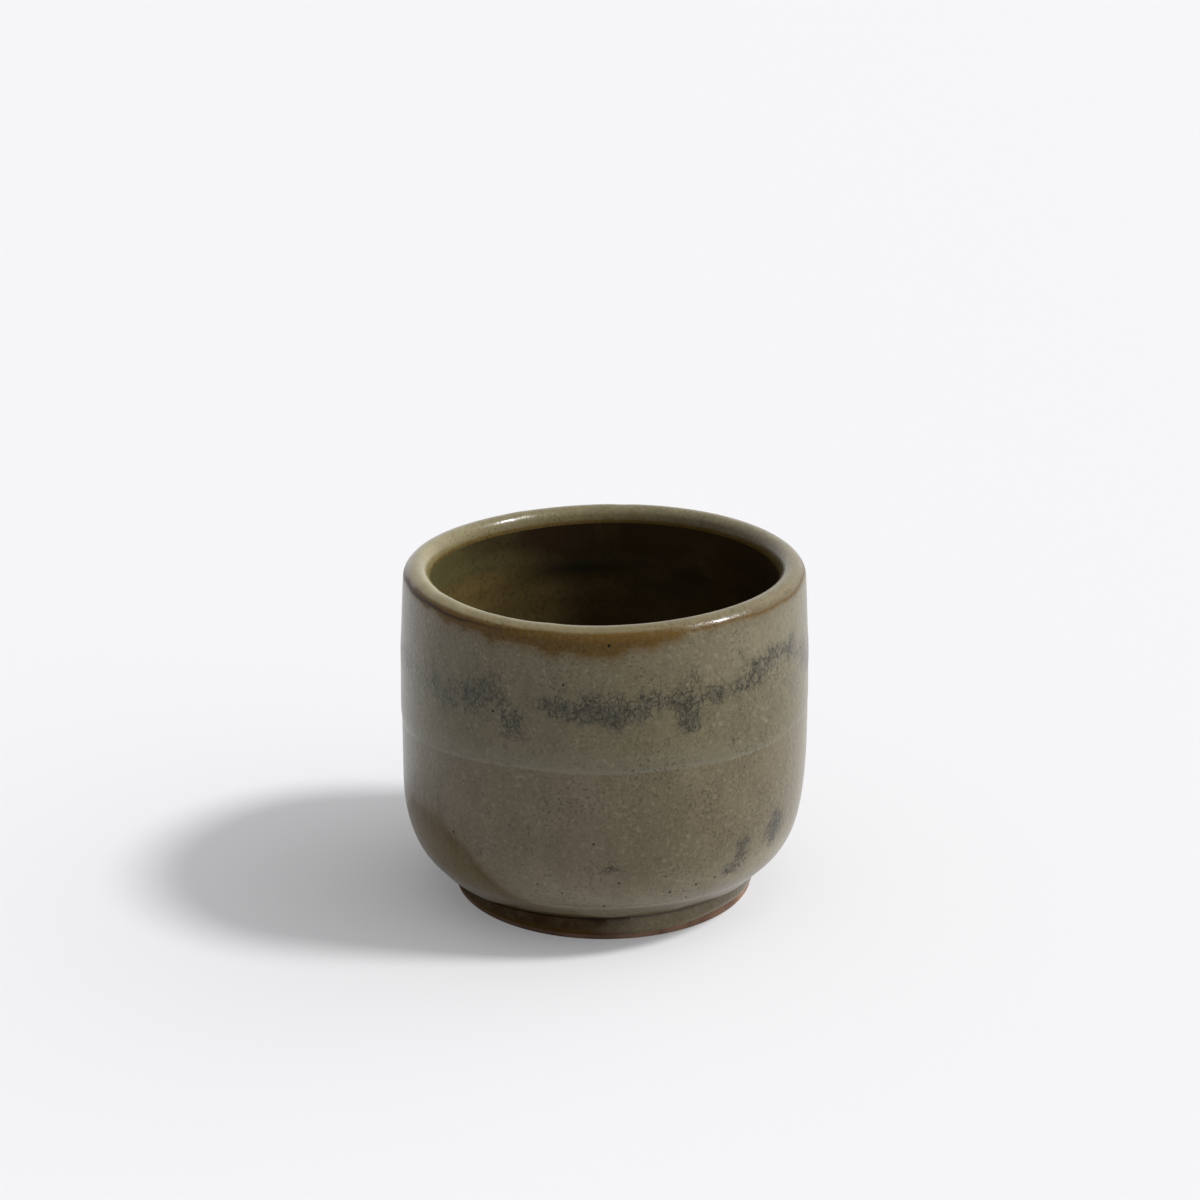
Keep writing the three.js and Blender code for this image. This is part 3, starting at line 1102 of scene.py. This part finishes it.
    def _pinholes(self, brush: Brush) -> Socket:
        """Pricks the pinholes: a dark core each, where the glaze opened over grit.

        Args:
            brush: The material being built.

        Returns:
            The holes' strength.
        """
        spots = []
        for place, core in self.holes:
            inputs = {0: brush.mm, 1: place}
            away = add_node(brush.tree, "VectorMath", {"operation": "DISTANCE"}, inputs).outputs["Value"]
            start, end = (core * share for share in self.hole_edge)
            spots.append(brush.ramp(away, start, end, 1.0, 0.0))
        hole = brush.most(spots)
        brush.lay(hole, self.pinhole)
        return hole


@dataclass(frozen=True)
class LinerFinish:
    """Satin liner glaze, poured in and out: a deep brown, darkened as painted shade, that breaks to olive
    where it lies thin and, as painted light, on the side that the key lights; greener below the lip, with a
    few dark smears.
    """

    name: str = "satin_liner_glaze"
    # The liner: deep brown, darkened as painted shade, and olive as painted light on the side the key lights
    thick: str = "#281d0f"
    thin: str = "#62532f"
    green: str = "#484a2f"
    smear: str = "#12110b"
    roughness: float = 0.34
    ior: float = 1.5
    specular: float = 0.28
    peel_depth: float = 0.1
    peel_shown: float = 0.4

    def material(self) -> Material:
        """Builds the liner's node tree."""
        brush = Brush(self.name, self.thick)
        fine = brush.noise(wide=0.9, detail=3.0)
        streak = brush.noise(wide=22, detail=2.0, on=brush.drawn(3.2))
        spread = brush.maths("MULTIPLY_ADD", brush.noise(wide=12, detail=4.0, rough=0.6), 0.6, -0.32)
        # Painted light: olive on the side that the key lights
        thin = brush.maths("ADD", brush.mask(Mask.THIN), spread, clamp=True)
        brush.lay(thin, self.thin)
        brush.lay(brush.maths("MULTIPLY", brush.mask(Mask.LIP), thin), self.green)
        brush.lay(brush.most([brush.ramp(streak, 0.56, 0.7, 0.0, 0.75), brush.mask(Mask.STAIN)]), self.smear)
        brush.lay(brush.ramp(fine, 0.52, 0.7, 0.0, 0.4), self.smear)
        gloss = {"Roughness": self.roughness, "IOR": self.ior, "Specular IOR Level": self.specular}
        return brush.finish(fine, self.peel_depth, self.peel_shown, gloss)


@dataclass(frozen=True)
class ClayFinish:
    """Bare fired stoneware: matt red-brown, gritty, with iron specks and the fine rings of the turning tool,
    darkened nearly black as painted shade on the side of the foot away from the light.
    """

    name: str = "bare_stoneware"
    body: str = "#907058"
    dark: str = "#3c2213"
    # Painted shade on the foot's side away from the light
    painted_shade: str = "#1d120a"
    speck: str = "#2e1f15"
    roughness: float = 0.88
    grit_depth: float = 0.08
    grit_shown: float = 0.5
    ring_width: float = 3.5
    ring_share: float = 0.5

    def material(self) -> Material:
        """Builds the clay's node tree."""
        brush = Brush(self.name, self.body)
        grit = brush.noise(wide=0.6, detail=3.0)
        brush.lay(brush.ramp(brush.noise(wide=9, detail=4.0), 0.35, 0.7, 0.0, 0.8), self.dark)
        brush.lay(brush.ramp(grit, 0.62, 0.74, 0.0, 0.7), self.speck)
        # Painted shade: the bare foot darkens away from the light
        brush.lay(brush.mask(Mask.FOOT), self.painted_shade)
        rings = add_node(
            brush.tree,
            "TexWave",
            {"wave_type": "RINGS", "rings_direction": "Z"},
            {"Vector": brush.mm, "Scale": 1 / self.ring_width, "Distortion": 1.2, "Detail": 2.0},
        ).outputs["Fac"]
        level = brush.maths("MULTIPLY_ADD", rings, self.ring_share, grit)
        return brush.finish(level, self.grit_depth, self.grit_shown, {"Roughness": self.roughness})


@dataclass
class Spun:
    """A half-section spun about the cup's axis into a closed mesh."""

    name: str
    section: Array
    segments: int
    obj: bpy.types.Object = field(init=False)
    row: Array = field(init=False)
    points: Array = field(init=False)

    CHUNKS = 16

    def __post_init__(self) -> None:
        """Draws the section by extruding a point along it, spins it and closes its seam."""
        bpy.ops.object.select_all(action="DESELECT")
        first = self.section[0] * MM
        bpy.ops.mesh.primitive_plane_add(size=MM, location=(first[0], 0, first[1]))
        self.obj = bpy.context.object
        self.obj.name = self.name
        self.obj.data.name = self.name
        bpy.ops.object.transform_apply(location=True, rotation=True, scale=True)
        bpy.ops.object.mode_set(mode="EDIT")
        bpy.ops.mesh.select_mode(type="VERT")
        bpy.ops.mesh.select_all(action="SELECT")
        bpy.ops.mesh.merge(type="CENTER")
        for step in np.diff(self.section, axis=0) * MM:
            move = {"value": (step[0], 0, step[1])}
            bpy.ops.mesh.extrude_vertices_move(TRANSFORM_OT_translate=move)
        bpy.ops.mesh.select_all(action="SELECT")
        bpy.ops.mesh.remove_doubles(threshold=WELD)
        bpy.ops.mesh.spin(steps=self.segments, angle=2 * math.pi, center=(0, 0, 0), axis=(0, 0, 1))
        bpy.ops.mesh.select_all(action="SELECT")
        bpy.ops.mesh.remove_doubles(threshold=WELD)
        bpy.ops.mesh.normals_make_consistent(inside=False)
        bpy.ops.object.mode_set(mode="OBJECT")
        self._find_rows()

    def _find_rows(self) -> None:
        """Notes each vertex's place, and which point of the section it was spun from."""
        mesh = self.obj.data
        flat = np.zeros(len(mesh.vertices) * 3)
        mesh.vertices.foreach_get("co", flat)
        self.points = flat.reshape(-1, 3) / MM
        radii = np.array_split(self.radius, self.CHUNKS)
        heights = np.array_split(self.height, self.CHUNKS)
        across, up = self.section.T
        rows = [
            np.argmin((r[:, None] - across) ** 2 + (z[:, None] - up) ** 2, axis=1)
            for r, z in zip(radii, heights)
        ]
        self.row = np.concatenate(rows)

    @property
    def angle(self) -> Array:
        """Each vertex's angle round the cup, in degrees."""
        return np.degrees(np.arctan2(self.points[:, 1], self.points[:, 0]))

    @property
    def height(self) -> Array:
        """Each vertex's height."""
        return self.points[:, 2]

    @property
    def radius(self) -> Array:
        """Each vertex's distance from the axis."""
        return np.hypot(self.points[:, 0], self.points[:, 1])

    def push(self, normal: Array, amount: Array) -> None:
        """Moves vertices along their section's normals.

        Args:
            normal: The section's normals, as radius and height.
            amount: How far each vertex moves, in millimetres.
        """
        turn = np.radians(self.angle)
        out = normal[self.row, 0] * amount
        self.points[:, 0] += out * np.cos(turn)
        self.points[:, 1] += out * np.sin(turn)
        self.points[:, 2] += normal[self.row, 1] * amount

    def settle(self, hand: Hand, crease: float) -> None:
        """Bends the points as the hand did, writes them to the mesh and smooths its shading.

        Args:
            hand: How the cup strays from a true one.
            crease: Angle over which an edge stays sharp, in degrees.
        """
        bent = hand.bend(self.points) * MM
        self.obj.data.vertices.foreach_set("co", bent.ravel())
        self.obj.data.update()
        bpy.ops.object.select_all(action="DESELECT")
        self.obj.select_set(True)
        bpy.context.view_layer.objects.active = self.obj
        bpy.ops.object.shade_smooth_by_angle(angle=math.radians(crease))

    def paint(self, masks: dict[Mask, Array]) -> None:
        """Stores masks as attributes of the mesh's points.

        Args:
            masks: Each mask's strength at each vertex.
        """
        for mask, strength in masks.items():
            layer = self.obj.data.attributes.new(mask.value, "FLOAT", "POINT")
            layer.data.foreach_set("value", strength.astype(np.float32))

    def finish_where(self, material: Material, chosen: Array) -> None:
        """Gives another finish to the faces whose corners are all chosen, after the piece is dressed.

        Args:
            material: The other finish.
            chosen: True for each vertex that takes it.
        """
        mesh = self.obj.data
        mesh.materials.append(material)
        place = len(mesh.materials) - 1
        for face in mesh.polygons:
            if all(chosen[v] for v in face.vertices):
                face.material_index = place

    def dress(self, material: Material, node: Node, slot: Slot) -> None:
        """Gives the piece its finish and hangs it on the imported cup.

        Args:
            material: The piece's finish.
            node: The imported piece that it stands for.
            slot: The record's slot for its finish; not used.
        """
        self.obj.data.materials.clear()
        self.obj.data.materials.append(material)
        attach(self.obj, BODY)
        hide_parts(node.value)
        log.info("%s: %d faces", self.name, len(self.obj.data.polygons))


@dataclass
class Pot:
    """The fired clay: the thrown bowl and the ring luted under it."""

    clay: ClaySizes
    outline: Outline
    hand: Hand
    map: GlazeMap
    bowl_segments: int = 128
    bowl_stride: int = 3
    foot_segments: int = 320
    edge_steps: int = 6
    side_steps: int = 12
    hollow_steps: int = 16
    crease: float = 40.0

    def bowl(self, material: Material) -> None:
        """Makes the bowl, with its seat and the turned hollow under its floor.

        Args:
            material: The bare clay.
        """
        c = self.clay
        top = (0.0, c.foot_height + c.hollow)
        hollow = bezier([top, (c.inner_seat[0] / 2, top[1]), c.inner_seat], self.hollow_steps)
        body = self.outline.line[self.outline.last[Stretch.FOOT]:]
        section = joined(hollow, body[::self.bowl_stride], body[-1:])
        piece = Spun("thrown_bowl", section, self.bowl_segments)
        piece.settle(self.hand, self.crease)
        piece.dress(material, Node.BOWL, Slot.BOWL_CLAY)

    def foot_ring(self, material: Material) -> None:
        """Makes the foot ring, flat on the table with rounded edges.

        Args:
            material: The bare clay.
        """
        c = self.clay
        edge = c.foot_edge
        inner = c.foot_radius - c.foot_width
        section = joined(
            bezier([(inner + edge, 0), (c.foot_radius - edge, 0)], self.edge_steps),
            arc((c.foot_radius - edge, edge), (edge, edge), -90, 0, self.edge_steps),
            bezier([(c.foot_radius, edge), c.seat], self.side_steps),
            bezier([c.seat, c.inner_seat], self.edge_steps),
            bezier([c.inner_seat, (inner, edge)], self.side_steps),
            arc((inner + edge, edge), (edge, edge), 180, 270, self.edge_steps),
        )
        piece = Spun("luted_foot_ring", section, self.foot_segments)
        # Painted shade: the bare foot darkens away from the light
        piece.paint({Mask.FOOT: self.map.shade_on_foot(piece.angle)})
        piece.settle(self.hand, self.crease)
        piece.dress(material, Node.FOOT_RING, Slot.FOOT_CLAY)


@dataclass
class Coats:
    """The three coats of glaze, each a closed skin on what carries it."""

    clay: ClaySizes
    outline: Outline
    hand: Hand
    map: GlazeMap
    segments: int = 384
    under_step: int = 6
    crease: float = 40.0
    body_taper: Pair = (-0.3, 0.7)
    bare_rise: float = 0.7
    bare_margin: float = 0.5
    roll_rise: float = 0.28
    roll_height: float = 1.6
    roll_reach: float = 1.1
    groove: float = 0.35
    low_margin: float = 0.3
    thin_share: float = 0.45
    thin_foot_share: float = 0.3
    shade_finish_share: float = 0.7
    shade_crevice_share: float = 0.5
    dip_thickness: float = 0.22
    dip_taper: Pair = (-0.25, 1.8)
    dip_fade: float = 5.0
    dip_start_steps: int = 3
    dip_over_least: float = 0.3
    edge_reach: float = 9.0
    run_rise: float = 0.10
    melt: float = 0.6
    rust_share: float = 0.62
    liner_thickness: float = 0.4
    ring_rise: float = 0.05
    ring_pitch: float = 5.5
    ring_over_floor: Pair = (2.0, 8.0)
    ring_under_crest: Pair = (4.0, 12.0)
    body_thickness: float = field(init=False)

    # Waves along the roll of glaze over the foot: height, count to the turn and phase
    ROLL_WAVES = ((0.35, 7, 0.0), (0.25, 16, math.radians(50)))

    def __post_init__(self) -> None:
        """Reads the body coat's thickness from the frame."""
        _, body_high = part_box(Node.BODY_GLAZE.value)
        self.body_thickness = body_high.x / MM - self.clay.belly_radius

    def _skin(
        self, name: str, under: Array, normal: Array, thickness: Array
    ) -> tuple[Spun, Array, Array, Array]:
        """Closes a coat over a line, its face and then back along the line in longer steps, and spins it.

        Args:
            name: The piece's name.
            under: The line that the coat lies on.
            normal: The line's normals.
            thickness: The coat's thickness at each point of the line.

        Returns:
            The spun coat, its section's normals, and for each vertex 1 on the face or 0 on the underside,
            and the coat's thickness there.
        """
        face = under + normal * thickness[:, None]
        back = np.unique(np.concatenate([np.arange(0, len(under), self.under_step), [len(under) - 1]]))[::-1]
        piece = Spun(name, np.vstack([face, under[back], face[:1]]), self.segments)
        normals = np.vstack([normal, normal[back], normal[:1]])
        side = np.concatenate([np.ones(len(face)), np.zeros(len(back)), [1]])
        depth = np.concatenate([thickness, np.zeros(len(back)), thickness[:1]])
        return piece, normals, side[piece.row], depth[piece.row]

    def body(self, material: Material, thin: Material, shade_finish: Material) -> None:
        """Makes the body coat, from the wiped foot over the heel, wall and lip.

        Args:
            material: The outside glaze.
            thin: The same glaze where it is thin, low on the left, and as painted shade on the lip's inner
                side and the foot.
            shade_finish: The same glaze, thin and duller on the foot, laid as painted shade on its shaded
                side and in the crevice.
        """
        c = self.clay
        end = self.outline.last[Stretch.LIP_IN] + 1
        under, normal = self.outline.line[:end], self.outline.normal[:end]
        thickness = self.body_thickness * smooth(under[:, 1] - c.wiped_height, *self.body_taper)
        piece, normals, side, _ = self._skin("body_glaze_coat", under, normal, thickness)
        masks = self.map.masks(piece.angle, piece.height, piece.radius)
        piece.paint(masks)
        lowest, highest = c.wiped_height + self.bare_margin, c.foot_height - self.bare_margin
        low_end = 1 - smooth(piece.height, lowest, highest)
        piece.points[:, 2] += self.bare_rise * self.map.bared(piece.angle) * low_end
        roll = self.roll_rise * bell(piece.height - c.foot_height, self.roll_height, self.roll_reach)
        roll *= 1 + ripple(piece.angle, *self.ROLL_WAVES)
        piece.push(normals, (roll - self.groove * masks[Mask.CREVICE]) * side)
        piece.settle(self.hand, self.crease)
        piece.dress(material, Node.BODY_GLAZE, Slot.BODY_GLAZE)
        # Duller copies of the glaze: on thin glaze, and as painted shade on the lip's inner side, the foot's
        # shaded side and the crevice
        foot = masks[Mask.FOOT] * (piece.height < c.foot_height + self.low_margin)
        piece.finish_where(thin, (masks[Mask.THIN] > self.thin_share) | (foot > self.thin_foot_share))
        piece.finish_where(shade_finish, (foot > self.shade_finish_share) | (masks[Mask.CREVICE] > self.shade_crevice_share))

    def dip(self, material: Material, rust: Material) -> None:
        """Makes the second dip over the upper half, with a wandering edge and thin at the lip's crest.

        Args:
            material: The outside glaze.
            rust: The same glaze where it burnt to rust, below the lip.
        """
        line = self.outline.line + self.outline.normal * self.body_thickness
        line = line[:self.outline.last[Stretch.LIP_OUT] + 1]
        low = self.map.edge_height
        start = int(np.argmax(line[:, 1] > low))
        first = (float(np.interp(low, line[:, 1], line[:, 0])), low)
        under = joined(bezier([first, tuple(line[start])], self.dip_start_steps), line[start:])
        along = np.concatenate([[0], np.cumsum(np.linalg.norm(np.diff(under, axis=0), axis=1))])
        thickness = self.dip_thickness * smooth(along, *self.dip_taper)
        thickness *= 1 - smooth(along, along[-1] - self.dip_fade, along[-1])
        piece, normals, side, depth = self._skin("second_dip_coat", under, outward(under), thickness)
        stray = self.map.edge(piece.angle) - low
        piece.points[:, 2] += stray * (1 - smooth(piece.height, low, low + self.edge_reach))
        masks = self.map.masks(piece.angle, piece.height, piece.radius)
        masks[Mask.OVER_EDGE] = np.maximum(masks[Mask.OVER_EDGE], self.dip_over_least)
        piece.paint(masks)
        sunk = self.melt * self.map.melted(piece.angle) * depth
        piece.push(normals, (self.run_rise * np.clip(masks[Mask.RUNS], 0, 1) - sunk) * side)
        piece.settle(self.hand, self.crease)
        piece.dress(material, Node.DIP_GLAZE, Slot.DIP_GLAZE)
        piece.finish_where(rust, masks[Mask.IRON] > self.rust_share)

    def liner(self, material: Material) -> None:
        """Makes the liner, over the inside wall and floor, with the throwing rings under it showing through.

        Args:
            material: The inside glaze.
        """
        start = self.outline.last[Stretch.LIP_IN]
        under, normal = self.outline.line[start:], self.outline.normal[start:]
        thickness = np.full(len(under), self.liner_thickness)
        piece, normals, side, _ = self._skin("liner_glaze_coat", under, normal, thickness)
        fade = smooth(piece.height - self.clay.floor_height, *self.ring_over_floor)
        fade *= smooth(self.clay.crest_height - piece.height, *self.ring_under_crest)
        ring = np.cos(2 * math.pi * piece.height / self.ring_pitch + np.radians(piece.angle))
        piece.paint(self.map.liner_masks(piece.angle, piece.height, piece.radius))
        piece.push(normals, self.ring_rise * ring * fade * side)
        piece.settle(self.hand, self.crease)
        piece.dress(material, Node.LINER_GLAZE, Slot.LINER_GLAZE)


@dataclass(frozen=True)
class Studio:
    """A pale floor, one soft key from the right and a pale surround, seen from the photograph's place."""

    floor_side: float = 12.0
    floor_colour: str = "#c0c0c1"
    floor_glow: float = 0.17
    floor_roughness: float = 0.9
    floor_specular: float = 0.1
    surround: str = "#f4f4f6"
    key_strength: float = 2.8
    key_width: float = 10.0
    key_turn: float = -5.0
    key_rise: float = 50.0
    low_fill: float = 0.1
    high_fill: float = 0.75
    side_fill: float = 2.15
    side_turn: float = 8.0
    side_start: float = 0.2
    camera_place: tuple[float, float, float] = (-0.73, -464.6, 218.8)
    camera_drop: float = 19.06
    focal_pixels: float = 2536.0
    sensor: float = 36.0
    clip_start: float = 0.01

    def floor(self) -> None:
        """Lays the floor of matt card: pale to the eye, and keeping the cup's shadow."""
        bpy.ops.object.select_all(action="DESELECT")
        bpy.ops.mesh.primitive_plane_add(size=self.floor_side)
        floor = bpy.context.object
        floor.name = "floor"
        brush = Brush("pale_floor", self.floor_colour)
        card = {
            "Base Color": brush.coat,
            "Roughness": self.floor_roughness,
            "Specular IOR Level": self.floor_specular,
            "Emission Color": linear(self.surround),
            "Emission Strength": brush.maths("MULTIPLY", brush.seen(), self.floor_glow),
        }
        fill(brush.tree, brush.shader, card)
        floor.data.materials.append(brush.material)

    def lights(self) -> None:
        """Sets the key and the surround, which is pale to the eye and in reflections."""
        rise, turn = math.radians(self.key_rise), math.radians(self.key_turn)
        bpy.ops.object.light_add(type="SUN", rotation=(0, math.pi / 2 - rise, turn))
        key = bpy.context.object
        key.name = "key"
        key.data.energy = self.key_strength
        key.data.angle = math.radians(self.key_width)
        world = bpy.data.worlds.new("surround")
        bpy.context.scene.world = world
        world.use_nodes = True
        tree = world.node_tree
        graph = Graph(tree)
        towards = math.radians(self.side_turn)
        way = add_node(tree, "TexCoord").outputs["Generated"]
        facing = add_node(
            tree, "VectorMath", {"operation": "DOT_PRODUCT"},
            {0: way, 1: (math.cos(towards), math.sin(towards), 0)},
        ).outputs["Value"]
        side = add_node(
            tree, "MapRange", {"interpolation_type": "SMOOTHSTEP"},
            {0: facing, 1: self.side_start, 2: 1.0, 3: 0.0, 4: self.side_fill},
        ).outputs[0]
        height = add_node(tree, "SeparateXYZ", inputs={0: way}).outputs["Z"]
        level = graph.maths("ADD", graph.ramp(height, 0.0, 1.0, self.low_fill, self.high_fill), side)
        colour = linear(self.surround)
        lit = add_node(tree, "Background", inputs={"Color": colour, "Strength": level})
        pale = add_node(tree, "Background", inputs={"Color": colour, "Strength": 1.0})
        both = add_node(tree, "MixShader", inputs={0: graph.seen(), 1: lit.outputs[0], 2: pale.outputs[0]})
        add_node(tree, "OutputWorld", inputs={"Surface": both.outputs[0]})

    def camera(self) -> None:
        """Places the camera where the photograph was taken from."""
        place = tuple(v * MM for v in self.camera_place)
        turn = (math.radians(90 - self.camera_drop), 0, 0)
        bpy.ops.object.camera_add(location=place, rotation=turn)
        camera = bpy.context.object
        camera.data.sensor_width = self.sensor
        camera.data.lens = self.sensor * self.focal_pixels / IMAGE_PIXELS
        camera.data.clip_start = self.clip_start
        bpy.context.scene.camera = camera


def main() -> None:
    """Builds the cup's pieces in order, then the studio."""
    logging.basicConfig(level=logging.INFO, format="%(message)s")
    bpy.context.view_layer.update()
    clay = ClaySizes()
    outline = Outline(clay)
    hand = Hand(clay)
    bare_clay = ClayFinish().material()
    glaze_map = GlazeMap(clay)
    pricks = hand.pricks(outline, glaze_map)
    glaze = GlazeFinish(pricks).material()
    # The same glaze with less shine: where it lies thin or rusted, and as painted shade on the shaded sides
    # of the foot and the lip
    thin_glaze = GlazeFinish(pricks, "thin_iron_glaze", roughness=0.33, specular=0.18, skin=0.12).material()
    shade_glaze = GlazeFinish(pricks, "shade_iron_glaze", roughness=0.6, specular=0.06, skin=0.0).material()
    rust_glaze = GlazeFinish(pricks, "rust_iron_glaze", roughness=0.34, specular=0.12, skin=0.08).material()
    pot = Pot(clay, outline, hand, glaze_map)
    pot.bowl(bare_clay)
    pot.foot_ring(bare_clay)
    coats = Coats(clay, outline, hand, glaze_map)
    coats.body(glaze, thin_glaze, shade_glaze)
    coats.dip(glaze, rust_glaze)
    coats.liner(LinerFinish().material())
    studio = Studio()
    studio.floor()
    studio.lights()
    studio.camera()
    bpy.context.scene.view_settings.view_transform = "Standard"


if __name__ == "__main__":
    main()
